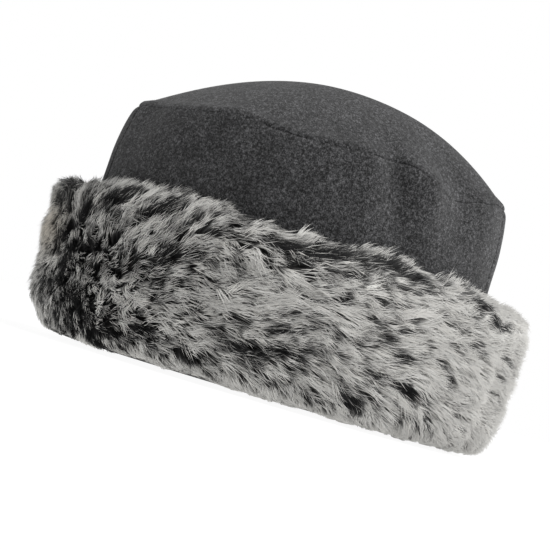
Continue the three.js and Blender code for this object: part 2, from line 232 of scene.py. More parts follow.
def column_at(table, key, degrees):
    """A column of a table whose places are degrees, easing from row to row."""
    return eased_from(table["at"], table[key], turned(degrees))


def smooth_rows(rows, shares):
    """A table's columns at shares of the way along it. A row's place is the straight distance to it,
    and between rows a cubic takes its slopes from the neighbours' differences."""
    rows = np.array(rows, float)
    steps = np.linalg.norm(np.diff(rows, axis=0), axis=1)
    place = np.concatenate([[0], np.cumsum(steps)])
    slope = np.gradient(rows, place, axis=0)
    at = np.asarray(shares) * place[-1]
    low = np.clip(np.searchsorted(place, at, side="right") - 1, 0, len(rows) - 2)
    span = (place[low + 1] - place[low])[:, None]
    t = ((at - place[low]) / span[:, 0])[:, None]
    start, end = rows[low], rows[low + 1]
    lean_in, lean_out = slope[low] * span, slope[low + 1] * span
    bend = start * (2 * t**3 - 3 * t**2 + 1) + end * (3 * t**2 - 2 * t**3)
    return bend + lean_in * (t**3 - 2 * t**2 + t) + lean_out * (t**3 - t**2)


def cloudy(round_share, up_share, cells_round, cells_up, seed):
    """Smooth noise from -1 to 1. Random values sit on a lattice that closes round the hat, and each
    place blends its four nearest by eased shares."""
    lattice = np.random.default_rng(seed).random((cells_up + 1, cells_round)) * 2 - 1
    x = np.mod(round_share, 1) * cells_round
    y = np.clip(up_share, 0, 1) * (cells_up - 1e-6)
    i, j = x.astype(int), y.astype(int)
    a, b = eased(x - i), eased(y - j)
    left, right = i % cells_round, (i + 1) % cells_round
    low = lattice[j, left] * (1 - a) + lattice[j, right] * a
    high = lattice[j + 1, left] * (1 - a) + lattice[j + 1, right] * a
    return low * (1 - b) + high * b


def highest_point(node):
    """The place of a CAD node's highest vertex, in millimetres."""
    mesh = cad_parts[node].data
    places = np.empty(len(mesh.vertices) * 3, np.float32)
    mesh.vertices.foreach_get("co", places)
    places = places.reshape(-1, 3)
    return places[places[:, 2].argmax()] / MM


CROWN_MIDDLE = highest_point("crown_tip")


def oval_point(degrees, half_length, height):
    """The oval's cosine and sine times its half-length and half-width. Over the cuff it leans to the
    right by an eased share of the lean."""
    angle = np.radians(degrees)
    lean = CROWN_LEAN * past(height, LEAN_FOOT, SEAM_HEIGHT - LEAN_FOOT)
    x = half_length * np.cos(angle) - CROWN_BACKSET + lean + CROWN_MIDDLE[0]
    y = half_length * OVAL * np.sin(angle) + CROWN_MIDDLE[1]
    return np.stack(np.broadcast_arrays(x, y, height), axis=-1)


def inset(degrees, height):
    """Sum over the folds of depth times a bell across the fold, growing with height, plus a narrow
    bell at each upright seam, the sink of the tip's seam, which fades as e to the minus distance over
    its reach, the rounder shoulder, puckers under the tip's seam and a slight waver of the cloth."""
    strength = past(height, FOLD_FOOT, FOLD_FULL - FOLD_FOOT)
    depth = np.zeros(np.broadcast(degrees, height).shape)
    for at, spread, deep, slant in zip(*FOLDS.values()):
        axis = at + slant * (SEAM_HEIGHT - height)
        depth = depth + deep * strength * near(degrees, axis, spread)
    for seam, tuck in zip(CROWN_SEAMS, SEAM_TUCKS):
        depth = depth + tuck * near(degrees, seam, SEAM_TUCK_SPREAD)
    sink = column_at(SEAM_SINK, "deep", degrees)
    depth = depth + sink * np.exp(-np.abs(SEAM_HEIGHT - height) / SINK_REACH)
    rounding = np.clip((height - SHOULDER["foot"]) / (SEAM_HEIGHT - SHOULDER["foot"]), 0, 1)
    beside = near(degrees, SHOULDER["at"], SHOULDER["spread"])
    depth = depth + SHOULDER["depth"] * rounding ** SHOULDER["power"] * beside
    share = np.broadcast_to(degrees / 360, depth.shape)
    level = np.broadcast_to(height / SEAM_HEIGHT, depth.shape)
    pucker = cloudy(share, level * 0, PUCKERS_ROUND, 1, 5)
    depth = depth + PUCKER_DEPTH * pucker * np.exp(-np.abs(SEAM_HEIGHT - height) / PUCKER_REACH)
    return depth + WAVER_DEPTH * strength * cloudy(share, level, WAVERS_ROUND, 9, 6)


def seam_rise(degrees):
    """How far the seam at the tip lies over its usual height."""
    return column_at(SEAM_WAVE, "rise", degrees)


def band_point(degrees, height, half_length):
    """The oval less the inset, with the seam's wave fading out down the band as a power of height."""
    point = oval_point(degrees, half_length - inset(degrees, height), height)
    point[..., 2] += seam_rise(degrees) * (height / SEAM_HEIGHT) ** WAVE_FADE["band"]
    return point


def tip_point(degrees, half_length, lift, rim):
    """The oval at the seam's height, raised by the lift. Folds and the seam's wave fade out towards
    the middle as powers of the half-length's share of the rim's."""
    share = np.minimum(half_length / rim, 1)
    over_seam = SEAM_HEIGHT + np.maximum(lift, 0)
    pushed = inset(degrees, over_seam) * share**FOLD_FADE
    point = oval_point(degrees, half_length - pushed, np.full(1, SEAM_HEIGHT))
    point[..., 2] += seam_rise(degrees) * share ** WAVE_FADE["dome"] + lift
    return point


def dome_lift(degrees, half_length, rim, rim_lift, top):
    """From the rim's lift to the top's by one less a power of the half-length's share."""
    curve = DOME_FULLNESS + DOME_FULLER_RIGHT * np.cos(np.radians(degrees))
    return rim_lift + (top - rim_lift) * (1 - (half_length / rim) ** curve)


def placed(name, data):
    """A new object in the scene."""
    made = bpy.data.objects.new(name, data)
    bpy.context.scene.collection.objects.link(made)
    return made


def new_piece(name, points, face_sets, material):
    """A mesh object from points in millimetres and arrays of faces, an array for each corner count."""
    mesh = bpy.data.meshes.new(name)
    corners = np.concatenate([faces.ravel() for faces in face_sets])
    sizes = np.concatenate([np.full(len(faces), faces.shape[1]) for faces in face_sets])
    starts = np.concatenate([[0], np.cumsum(sizes)[:-1]])
    mesh.vertices.add(len(points))
    mesh.vertices.foreach_set("co", (points * MM).astype(np.float32).ravel())
    mesh.loops.add(len(corners))
    mesh.loops.foreach_set("vertex_index", corners.astype(np.int32))
    mesh.polygons.add(len(sizes))
    mesh.polygons.foreach_set("loop_start", starts.astype(np.int32))
    mesh.polygons.foreach_set("use_smooth", np.ones(len(sizes), bool))
    mesh.update(calc_edges=True)
    mesh.materials.append(material)
    return placed(name, mesh)


def cell_corners(first, second):
    """The four corners of each cell between two rows of point numbers, one above the other."""
    return np.stack([first[..., :-1], first[..., 1:], second[..., 1:], second[..., :-1]], axis=-1)


def shell_piece(name, outer, inner, material, ring=False, pole=False):
    """A closed cloth wall between an outer and an inner grid of points, rows upwards and columns round
    the hat. A ring joins its last column to its first, and a pole closes its last row on one point."""
    rows, count = outer.shape[:2]
    numbers = np.arange(2 * rows * count).reshape(2, rows, count)
    points = [outer.reshape(-1, 3), inner.reshape(-1, 3)]
    if ring:
        numbers = np.concatenate([numbers, numbers[:, :, :1]], axis=2)
    out, back = numbers
    quads = [
        cell_corners(out[:-1], out[1:]),
        cell_corners(back[:-1], back[1:])[..., ::-1],
        cell_corners(out[:1], back[:1])[..., ::-1],
    ]
    face_sets = []
    if pole:
        for side, grid, turn in ((out, outer, 1), (back, inner, -1)):
            top = sum(len(p) for p in points)
            points.append(grid[-1].mean(axis=0)[None])
            rim = side[-1]
            fan = np.stack([rim[:-1], rim[1:], np.full(len(rim) - 1, top)], axis=-1)
            face_sets.append(fan[:, ::turn])
    else:
        quads.append(cell_corners(out[-1:], back[-1:]))
    if not ring:
        quads.append(cell_corners(out[None, :, 0], back[None, :, 0]))
        quads.append(cell_corners(out[None, :, -1], back[None, :, -1])[..., ::-1])
    face_sets.insert(0, np.concatenate([q.reshape(-1, 4) for q in quads]))
    return new_piece(name, np.concatenate(points), face_sets, material)


def between_seams(start, end, count, half_length):
    """Degrees from one seam to the next, less half a gap at each."""
    half_gap = math.degrees(GAP / 2 / half_length)
    return np.linspace(start + half_gap, end - half_gap, count)[None, :]


def band_panel(name, start, end, count, rows, material):
    """One panel of the side band between two upright seams, with rows closer towards the tip."""
    degrees = between_seams(start, end, count, CROWN_HALF_LENGTH)
    shares = 1 - (1 - np.linspace(0, 1, rows)) ** BAND_ROW_POWER
    height, outer, inner = smooth_rows(BAND_ROWS, shares).T[:, :, None]
    outside = band_point(degrees, height, outer)
    inside = band_point(degrees, height, inner)
    return shell_piece(name, outside, inside, material)


def tip_grid(degrees, rim_rows, shares, start, rim, top, fill):
    """Rows of the rounded rim, filled out by an eased share that falls with the lift, then rows of the
    dome's curve in to the middle."""
    half = rim_rows[:, 0][:, None]
    lift = rim_rows[:, 1][:, None]
    unsunk = 1 - np.clip(column_at(SEAM_SINK, "deep", degrees), 0, 1)
    half = half + fill * unsunk * eased((RIM_FILL_TOP - lift) / RIM_FILL_REACH)
    edge = tip_point(degrees, half, lift, rim)
    inwards = start * shares[:, None]
    dome = tip_point(degrees, inwards, dome_lift(degrees, inwards, rim, DOME_RIM_LIFT, top), rim)
    return np.concatenate([edge, dome])


def crown_tip_piece(count, rows, material):
    """The domed tip as rings from its rim in to the middle, where one point closes each side."""
    degrees = np.linspace(-180, 180, count, endpoint=False)[None, :]
    rim = smooth_rows(TIP_RIM_ROWS, np.linspace(0, 1, 8))
    shares = 1 - np.linspace(*DOME_ROW_STEPS, rows) ** DOME_ROW_POWER
    outside = tip_grid(degrees, rim[:, :2], shares, *DOME_OUTSIDE, DOME_RISE, RIM_FILL)
    inside = tip_grid(degrees, rim[:, 2:], shares, *DOME_INSIDE, DOME_RISE - CLOTH, 0)
    return shell_piece("crown_tip_cloth", outside, inside, material, ring=True, pole=True)


def cuff_point(degrees, out, height):
    """The foot of the crown's wall, and its direction straight out times the distance out. A bell at
    each seam pinches that distance, and at full thickness the backset is made up to the right."""
    angle = np.radians(degrees)
    away_x = np.cos(angle) / CROWN_HALF_LENGTH
    away_y = np.sin(angle) / CROWN_HALF_WIDTH
    size = np.hypot(away_x, away_y)
    pinch = sum(SEAM_DIP * near(degrees, seam, SEAM_DIP_SPREAD) for seam in CUFF_SEAMS)
    beyond = np.maximum(out - GAP, 0)
    kept = out - beyond * pinch
    drift = CROWN_BACKSET * (beyond / CUFF_THICKNESS - 1)
    x = CROWN_HALF_LENGTH * np.cos(angle) + away_x / size * kept + drift + CROWN_MIDDLE[0]
    y = CROWN_HALF_WIDTH * np.sin(angle) + away_y / size * kept + CROWN_MIDDLE[1]
    return np.stack(np.broadcast_arrays(x, y, height), axis=-1)


# The pile's line as close steps: distance along it, distance out, height, and its direction.
LINE = smooth_rows(PILE_OUTLINE, np.linspace(0, 1, 300))
LINE_ALONG = np.concatenate([[0], np.cumsum(np.hypot(*np.diff(LINE, axis=0).T))])
LINE_LENGTH = LINE_ALONG[-1]
LINE_RUN = unit(np.gradient(LINE, LINE_ALONG, axis=0))


def line_at(along):
    """Distance out, height, and the direction of the pile's line, at distances along it."""
    held = np.clip(along, 0, LINE_LENGTH)
    out, height = (np.interp(held, LINE_ALONG, LINE[:, k]) for k in (0, 1))
    run_out, run_up = (np.interp(held, LINE_ALONG, LINE_RUN[:, k]) for k in (0, 1))
    extra = along - held
    return out + run_out * extra, height + run_up * extra, run_out, run_up


def settled(degrees, out, height):
    """The cuff's uneven form. Its upper half rises by the table's values, eased from the crown's wall
    out to the shoulder, which stands out by a bell over its height. Its foot draws in at the left end
    by a bell that fades upwards. Each lump of the two ends is a bell round the hat times one upwards."""
    inner, outer, wider = (column_at(TOP_RISE, key, degrees) for key in ("inner", "outer", "wider"))
    rise = inner + (outer - inner) * past(out, *SHOULDER_OUT)
    draw = LEFT_DRAW * near(degrees, *LEFT_DRAW_ROUND) * (1 - past(height, *LEFT_DRAW_UP))
    draw = draw * eased(out / LEFT_DRAW_OUT)
    more = wider * bell(height - SHOULDER_HEIGHT, SHOULDER_TALL)
    for at, spread, level, tall, lump in zip(*END_LUMPS.values()):
        more = more + lump * near(degrees, at, spread) * bell(height - level, tall)
    out = out - draw + more * eased(out / LUMPS_OUT)
    return out, height + rise * past(height, *RISE_UP)


def foot_height(degrees):
    """The table's height, plus small notches from smooth noise."""
    wave = column_at(FOOT_WAVE, "height", degrees)
    notch = cloudy(degrees / 360, np.zeros(np.shape(degrees)), FOOT_NOTCHES["round"], 1, 31)
    return wave + FOOT_NOTCHES["deep"] * (1 + notch)


def fur_point(degrees, along, lift, least=0.1):
    """The pile's line, moved square off it by the lift, kept clear of the crown and over a least
    height."""
    out, height, run_out, run_up = line_at(along)
    out, height = settled(degrees, out + run_up * lift, height - run_out * lift)
    clear = softly_above(out, WALL_CLEARANCE, WALL_BEND)
    return cuff_point(degrees, clear, softly_above(height, least, GROUND_BEND))


# Which way the pile runs, in degrees over level towards the right end in front: a row for each place
# round the hat, with the run at each of these heights.
FLOW_HEIGHTS = np.array([6, 16, 28, 39, 50, 60, 71, 82])
FLOW_ROWS = np.array([
    # at, then the runs
    (-180, -86, -88, -88, -88, -86, -84, -78, -70), (-160, -72, -76, -80, -80, -80, -84, -60, -40),
    (-150, -50, -44, -46, -42, -44, 70, 10, 30), (-142, -46, 0, 14, 10, 60, 50, 16, 40),
    (-133, -44, 6, 14, 12, 60, 40, 20, 44), (-121, -40, 4, 12, 20, 58, 62, 38, 50),
    (-112, -46, -2, 14, 20, 24, 32, 34, 34), (-103, -50, -16, -4, -14, 0, -22, 10, 26),
    (-94, -50, -14, -4, 14, 6, -34, -14, 16), (-86, -48, -6, 16, 14, 8, -10, -4, 16),
    (-77, -50, -22, 0, -22, -4, 10, -6, 34), (-68, -52, -18, -14, 4, 10, 0, 0, 52),
    (-59, -55, -26, -16, 8, 10, 0, -6, 48), (-47, -55, -42, -18, -20, 6, 6, -12, 24),
    (-32, -45, -20, 2, -30, -4, 8, -20, -10), (-10, -40, -10, 0, 4, 4, 4, 0, 2),
    (30, -45, -20, -8, 0, 4, 10, 14, 24), (90, -50, -22, -10, -2, 4, 10, 18, 30),
    (150, -55, -30, -18, -8, 0, 4, 10, 24), (180, -86, -88, -88, -88, -86, -84, -78, -70),
], float)


def flow_at(degrees, height):
    """Reads the flow's table: eased round the hat at each height, and straight between heights."""
    levels = np.stack([eased_from(FLOW_ROWS[:, 0], runs, turned(degrees)) for runs in FLOW_ROWS.T[1:]])
    place = np.interp(height, FLOW_HEIGHTS, np.arange(len(FLOW_HEIGHTS)))
    low = np.minimum(place.astype(int), len(FLOW_HEIGHTS) - 2)
    share = place - low
    each = np.arange(len(degrees))
    return levels[low, each] * (1 - share) + levels[low + 1, each] * share


# Partings and pale drifts in the pile. A dark parting is partly the hair's own dark and partly
# painted shade. For each: where the middle lies, half its length and width in millimetres, how its
# length turns over level, and how much paler it makes the hair there.
MARKS = columns("at height long wide turn paler", [
    (-172, 75, 18.2, 5.1, 0, -0.45), (-158, 74, 10.4, 4.2, 0, -0.3), (-161.5, 66, 8, 5, 90, -0.5),
    (-164, 49, 15, 7, 90, 0.12), (-172, 22, 18.2, 2.5, 75, -0.5), (-160, 22, 15.6, 2.5, 100, -0.5),
    (-152, 37, 11.7, 3.4, 120, -0.8), (-150.5, 68, 8, 3, 90, 0.5), (-149, 11, 7, 4, 60, -0.8),
    (-152.5, 18, 9, 4, 110, -0.9), (-147.5, 30, 11.7, 3.8, 120, -1), (-146, 43.5, 7, 3, 100, -0.5),
    (-145.5, 59, 6.5, 3.8, 60, -0.9), (-142, 78.5, 9, 3, 20, 0.5), (-139.5, 68, 7.8, 2.5, 50, -0.6),
    (-135.4, 72.5, 8, 3, 40, -0.9), (-139.5, 47, 9.1, 2.7, 0, -0.7), (-139.5, 22, 9.1, 3.4, -50, -0.6),
    (-139, 14.5, 7, 3.4, 40, -0.7), (-135.5, 7, 11.7, 2.5, -10, -0.3),
    (-132.5, 41, 18.2, 5.1, 0, -0.22), (-131.5, 13, 14.3, 6, 0, -0.4), (-130.5, 2, 9.1, 1.7, -10, -0.8),
    (-126.5, 49.5, 6.5, 3.4, 0, -0.5), (-126, 61, 9, 3, 20, 0.45), (-125, 67.4, 7, 2.6, 40, -0.8),
    (-122.3, 73, 8, 4, 30, -1), (-127.5, 30, 6, 4.5, 0, 0.5), (-121, 28.5, 6, 4.5, -10, 0.4),
    (-119.2, 16.5, 5.5, 3.4, 0, -1), (-118, 37, 7.8, 2.4, 80, -0.9), (-117.8, 51, 5.9, 3.1, 60, -0.85),
    (-113.7, 69.6, 6, 2, 40, -0.7), (-112.5, 54.5, 9.1, 1.7, 22, -0.6), (-113, 26.5, 7, 4, 0, 0.35),
    (-108, 71, 10, 5, 20, 0.25), (-108.5, 26, 11, 9, 0, 0.22), (-107.2, 11.7, 6, 2.4, -30, -1),
    (-104.6, 73.2, 8, 2, 15, -0.9), (-104.5, 62.5, 7, 4, 0, 0.3), (-104.5, 22, 5, 2.5, 0, 0.35),
    (-100, 23, 9, 3, -10, -0.5), (-99, 41, 10, 7, 0, 0.25), (-98, 60.5, 6, 3, -10, 0.3),
    (-97, 13, 6, 2.5, -20, 0.35), (-94.5, 68.5, 8, 1.8, -15, -0.9), (-94, 19.5, 7, 2.9, -18, -0.8),
    (-90.5, 61, 7, 3, -15, 0.3), (-89.5, 48, 9, 5, 0, 0.4), (-88.2, 24.3, 9, 2.8, 5, -1.1),
    (-88, 33.5, 9.1, 1.7, 15, -0.75), (-86.5, 70.8, 12, 3.2, 6, -1.4),
    (-85.5, 63.3, 7.8, 1.7, -10, -0.9), (-80.5, 42, 6, 2, 0, -0.6), (-79.5, 74, 10.4, 2, 14, -0.8),
    (-78.2, 54.5, 5, 1.6, 10, -0.6), (-77.5, 34, 6, 2, 0, 0.35), (-71, 70.8, 12, 3, 3, -0.5),
    (-77, 65.7, 7, 1.8, -5, -0.8), (-76.8, 7.8, 6, 1.6, -25, -0.7), (-75, 49, 5, 4.5, -50, 0.8),
    (-70.8, 9.5, 9, 1.8, -40, 0.8), (-69.6, 76.2, 9, 2.2, 10, -1.05), (-64.5, 76.4, 5, 1.8, -10, -1.1),
    (-68, 11.5, 7, 2.8, -25, -1.3), (-64.5, 15.5, 5.2, 1.6, 20, -0.8),
    (-65.5, 45, 7.8, 1.7, -10, -0.45), (-64.2, 26, 7, 2, -15, -0.7), (-62, 49.5, 6.5, 1.6, 5, -0.7),
    (-60.5, 73.6, 8, 2.8, -4, -1.6), (-52, 76.3, 6, 1.3, 5, -1.1), (-59.8, 38, 5.9, 2.4, 20, -0.75),
    (-56.5, 18.3, 12, 1.8, -38, 0.7), (-55.4, 23.3, 9, 3.6, -15, -1.5), (-50, 52, 8, 6, 0, 0.3),
    (-47.5, 64, 6, 5, 0, 0.3), (-46, 80.5, 12, 4, 10, -0.55), (-48, 50.5, 3.9, 1.4, 0, -0.8),
    (-45.3, 35, 8, 2, -35, -0.8), (-47, 13.6, 7, 2.4, -50, -1.3), (-42.5, 7, 6.5, 1.4, -40, -0.6),
    (-43, 67.5, 12, 6, 60, -0.6), (-39.2, 71.5, 6, 3, 20, -1.2), (-38, 51, 5, 1.3, -8, -0.8),
    (-40, 54.5, 5, 2.2, 0, -0.8), (-34.5, 67, 7, 3.2, -35, -1.4), (-26.5, 65.5, 14, 3.4, 5, -1.5),
    (-30.5, 48, 15, 5, 90, 0.35), (-35.5, 30, 6.5, 2.5, 60, -0.7), (-33, 13, 6, 2, 0, -0.8),
    (-25.5, 14, 6.5, 2, 30, -0.4),
])

# How soft and evenly pale the pile is round the hat, and how grey its roots are, from 0 to 1.
SOFTNESS = columns("at soft grey", [
    (-180, 0.2, 0.1), (-165, 0.15, 0.1), (-150, 0, 0), (-118, 0, 0.1), (-102, 0.08, 0.38),
    (-80, 0.18, 0.52), (-60, 0.4, 0.65), (-45, 0.75, 0.85), (-20, 0.95, 1), (10, 0.8, 0.9),
    (60, 0.5, 0.5), (120, 0.4, 0.4), (165, 0.25, 0.2), (180, 0.2, 0.1),
])

# How high the topmost hair reaches round the hat. Its tufts rise to the right and end abruptly.
FRINGE = columns("at height", [
    (-180, 78), (-161, 79.5), (-151, 80.5), (-141, 81), (-133, 81.5), (-126, 83), (-119, 84.5),
    (-112, 84.5), (-108, 82), (-105, 77), (-102, 75), (-98, 78.6), (-96, 78.4), (-94.5, 75),
    (-91.5, 75), (-87.5, 80.5), (-86, 80), (-84.4, 76.5), (-80, 76.4), (-76, 78), (-72, 80.8),
    (-66, 85), (-60, 88), (-59, 88), (-57.8, 78), (-55, 76.6), (-47, 80.5), (-43, 88.5), (-38.6, 90),
    (-33.6, 87), (-27, 80), (-10, 79), (20, 82), (50, 79), (52, 82.5), (80, 78), (110, 82.5), (112, 78),
    (140, 81.5), (160, 79), (180, 78),
])


def softness(degrees, key="soft"):
    """How soft the pile is round the hat, or with the other key how grey its roots are."""
    return column_at(SOFTNESS, key, degrees)


def marked(degrees, height):
    """Sum over the marks of how much paler each makes a place, times a bell over its oval. Dark marks
    are partly the hair's own dark and partly painted shade of a parting.
    """
    paler = np.zeros(np.shape(degrees))
    for at, level, long, wide, turn, more in zip(*MARKS.values()):
        aside = turned(degrees - at) * GIRTH_DEGREE
        up = height - level
        cosine, sine = math.cos(math.radians(turn)), math.sin(math.radians(turn))
        along = aside * cosine + up * sine
        across = up * cosine - aside * sine
        paler += more * np.exp(-((along / long) ** 2) - (across / wide) ** 2)
    return paler


# The hair of the pile, in tufts.
GIRTH = math.pi * (CROWN_HALF_LENGTH + CROWN_HALF_WIDTH + 2 * CUFF_THICKNESS)
GIRTH_DEGREE = GIRTH / 360
TUFT_SPACING = 3.6
TUFT_JITTER = 0.48
TUFT_REACH = 2.6
HAIRS_IN_TUFT = 16
HAIR_LENGTH = 12.6
HAIR_RADIUS = 0.2
HAIR_FLATNESS = 0.75
ROUNDNESS = 0.35
TIP_LIFT = 2.8
TIP_LIFT_AT_FOOT = 0.4
TIP_LIFT_FULL = 14
RISE_POWER = 1.9
FRINGE_BEND = 1.5
MARK_DEPTH = 0.8
STATIONS = np.array([0, 0.5, 1])
TAPER = np.array([0.9, 1])
FLOW_LEAD = 4
PILE_PIECES = 6

# How much tufts and single hairs vary: a spread, or the least and greatest share.
TUFT_VARIES = {"run": 11, "curly_run": 20, "length": (0.7, 1.2), "bend": 1.6, "lift": (0.1, 1.6),
               "gather": (0.4, 0.95), "foot": 1.5}
HAIR_VARIES = {"run": 7, "length": (0.65, 1.2), "bend": 0.9, "lift": 0.6, "fringe": (-1.7, 2),
               "foot": 0.9, "radius": (0.75, 1.3)}

# Swirls of the run in degrees, and drifts of paleness: strength, cells round and up, seed.
SWIRLS = [(8, 40, 7, 12), (14, 90, 14, 13)]
DRIFTS = [(0.07, 44, 6, 21), (0.1, 150, 20, 22), (0.13, 64, 9, 23), (0.24, 34, 5, 24)]
DRIFT_TALL = 90
BACK = (90, 75)

# The hair is curly at the left end, and less so in front of it up to some way along the pile's line.
CURLY_END = (-172, 22)
CURLY_FRONT = 0.8
CURLY_FRONT_AT = -140
CURLY_FRONT_SPREAD = 14
CURLY_FRONT_ALONG = (46, 16)

# How pale the hair is, and what is added to that.
TURN_AT = 1.12
PALENESS = 0.78
SOFT_PALENESS = 0.3
TUFT_PALENESS = 0.13
HAIR_PALENESS = 0.03
TUFT_TONE = 0.15
HAIR_TONE = 0.03
LEFT_SHADE = 0.07
LEFT_SHADE_FROM = (130, 14)
FOOT_PALE = 0.25
FOOT_PALE_UP = (3, 8)
FOOT_PALE_RIGHT_OF = -126
TOP_SHADE = 0.33
TOP_SHADE_UP = (66, 10)
TAN = 1.1
TAN_ROUND = (-165, 9)
TAN_HEIGHT = 50
TAN_TALL = 11
MARKS_SKIPPED = 0.14

# The undercoat's form and how pale it is.
BODY_ROWS = 26
BODY_ROUGHNESS = 0.6
BODY_OVER_FOOT = 1.9
DEPTH_FULL = 9
BODY_PALE = {"soft": 0.4, "grey": 0.3, "marks": 0.6, "foot": 0.25}
BODY_PALE_UP = (2, 9)


def tufts(rng):
    """Tufts in a loose grid over the cuff, every second row moved by half a space. Each runs the flow's
    way plus swirls and chance. Where it is curly it is shorter, flatter, looser and less regular."""
    roots_length = np.interp(ROOTS_END, LINE[:, 1], LINE_ALONG)
    across = round(GIRTH / TUFT_SPACING)
    upward = round(roots_length / TUFT_SPACING)
    i, j = (grid.ravel() for grid in np.meshgrid(np.arange(across), np.arange(upward)))
    count = len(i)
    jitter = rng.uniform(-TUFT_JITTER, TUFT_JITTER, (2, count))
    degrees = turned((i + 0.5 * (j % 2) + jitter[0]) * 360 / across)
    along = (j + 0.5 + jitter[1]) * roots_length / upward
    swirl = sum(strong * cloudy(degrees / 360, along / LINE_LENGTH, *cells) for strong, *cells in SWIRLS)
    run = flow_at(degrees + FLOW_LEAD, line_at(along)[1]) + swirl
    front = CURLY_FRONT * bell(degrees - CURLY_FRONT_AT, CURLY_FRONT_SPREAD)
    curly = np.minimum(near(degrees, *CURLY_END) + front * (1 - past(along, *CURLY_FRONT_ALONG)), 1)
    varies = TUFT_VARIES
    return {
        "degrees": degrees,
        "along": along,
        "run": run + rng.normal(0, varies["run"] + varies["curly_run"] * curly, count),
        "length": HAIR_LENGTH * rng.uniform(*varies["length"], count) * (1 - 0.4 * curly),
        "bend": rng.normal(0, varies["bend"], count),
        "lift": TIP_LIFT * rng.uniform(*varies["lift"], count) * (1 - 0.3 * curly),
        "gather": rng.uniform(*varies["gather"], count) * (1 - 0.45 * curly),
        "tone": rng.normal(0, 1, count),
        "foot": varies["foot"] * np.sqrt(rng.random(count)),
    }


def set_values(piece, values):
    """Puts named values, one for each point, into a piece's mesh for its finish to read."""
    for key, value in values.items():
        attribute = piece.data.attributes.new(key, "FLOAT", "POINT")
        attribute.data.foreach_set("value", value.astype(np.float32).ravel())


def cuff_body(name, start, end, count, material):
    """The dense undercoat of one fur panel on its backing. The outside is the pile's line, let in by
    the depth of the loose hair, and the inside is the backing, which lips in under the hem."""
    degrees = between_seams(start, end, count, CROWN_HALF_LENGTH + CUFF_THICKNESS)
    along = np.linspace(0, np.interp(ROOTS_END, LINE[:, 1], LINE_ALONG), BODY_ROWS)[:, None]
    out, height, run_out, run_up = line_at(along)
    depth = PILE_DEPTH * eased(along / DEPTH_FULL)
    side = out - run_up * depth
    level = np.maximum(height + run_out * depth, 0)
    rough = cloudy(degrees / 360 + 0 * along, along / LINE_LENGTH + 0 * degrees, 150, 20, 3)
    side, level = settled(degrees, side + BODY_ROUGHNESS * rough, level)
    level = softly_above(level, foot_height(degrees) + BODY_OVER_FOOT, 0.5)
    outside = cuff_point(degrees, np.maximum(side, GAP), level)
    under_hem = along < LIP_LENGTH
    lining_out = np.where(under_hem, -HEM_LIP, GAP)
    lining_up = np.where(under_hem, HEM_HEIGHT - GAP, np.clip(level, HEM_HEIGHT - GAP, BACKING_TOP))
    lining_up[0] = LIP_HEIGHT
    inside = cuff_point(degrees, lining_out, lining_up)
    piece = shell_piece(name, outside, inside, material)
    at = np.broadcast_to(degrees, level.shape).ravel()
    pale = BODY_PALE["soft"] * softness(at) + BODY_PALE["grey"] * softness(at, "grey")
    # Dark marks darken the undercoat too: partly its own dark, partly painted shade of partings.
    pale += BODY_PALE["marks"] * marked(at, level.ravel())
    pale += BODY_PALE["foot"] * (1 - past(level.ravel(), *BODY_PALE_UP))
    set_values(piece, {"pale": np.clip(np.concatenate([pale, pale]), 0, 1)})
    return piece


def lying(hair):
    """Where each hair lies at its stations: degrees, distance along the pile's line, lift off it and
    least height. It starts near its tuft's root and runs the tuft's way, while its offset from the tuft
    shrinks by the gather's share, so that the tips come together. It leaves the undercoat steeply, lies
    down over it and ends in a lifted tip."""
    t = STATIONS[None, :]
    shrink = 1 - hair["gather"] * eased(t * 1.1)
    forward = hair["length"] * t + hair["far"] * np.cos(hair["turn"]) * shrink
    aside = hair["far"] * np.sin(hair["turn"]) * shrink + hair["bend"] * t**2
    round_hat = forward * np.cos(hair["run"]) - aside * np.sin(hair["run"])
    up = forward * np.sin(hair["run"]) + aside * np.cos(hair["run"])
    degrees = hair["degrees"] + round_hat / GIRTH_DEGREE
    along = softly_above(hair["along"] + up, 0, 0.8)
    fringe = np.interp(column_at(FRINGE, "height", degrees), LINE[:, 1], LINE_ALONG)
    along = -softly_above(-along, -(fringe + hair["fringe"]), FRINGE_BEND)
    pressed = np.clip(-marked(degrees, line_at(along)[1]), 0, 1)
    rise = 1 - (1 - t) ** RISE_POWER
    lifted = TIP_LIFT_AT_FOOT + (1 - TIP_LIFT_AT_FOOT) * eased(along / TIP_LIFT_FULL)
    top = hair["lift"] * lifted * (1 - 0.4 * softness(degrees))
    lift = -PILE_DEPTH + (PILE_DEPTH + top - MARK_DEPTH * pressed) * rise
    return degrees, along, lift, foot_height(degrees) + hair["least"]


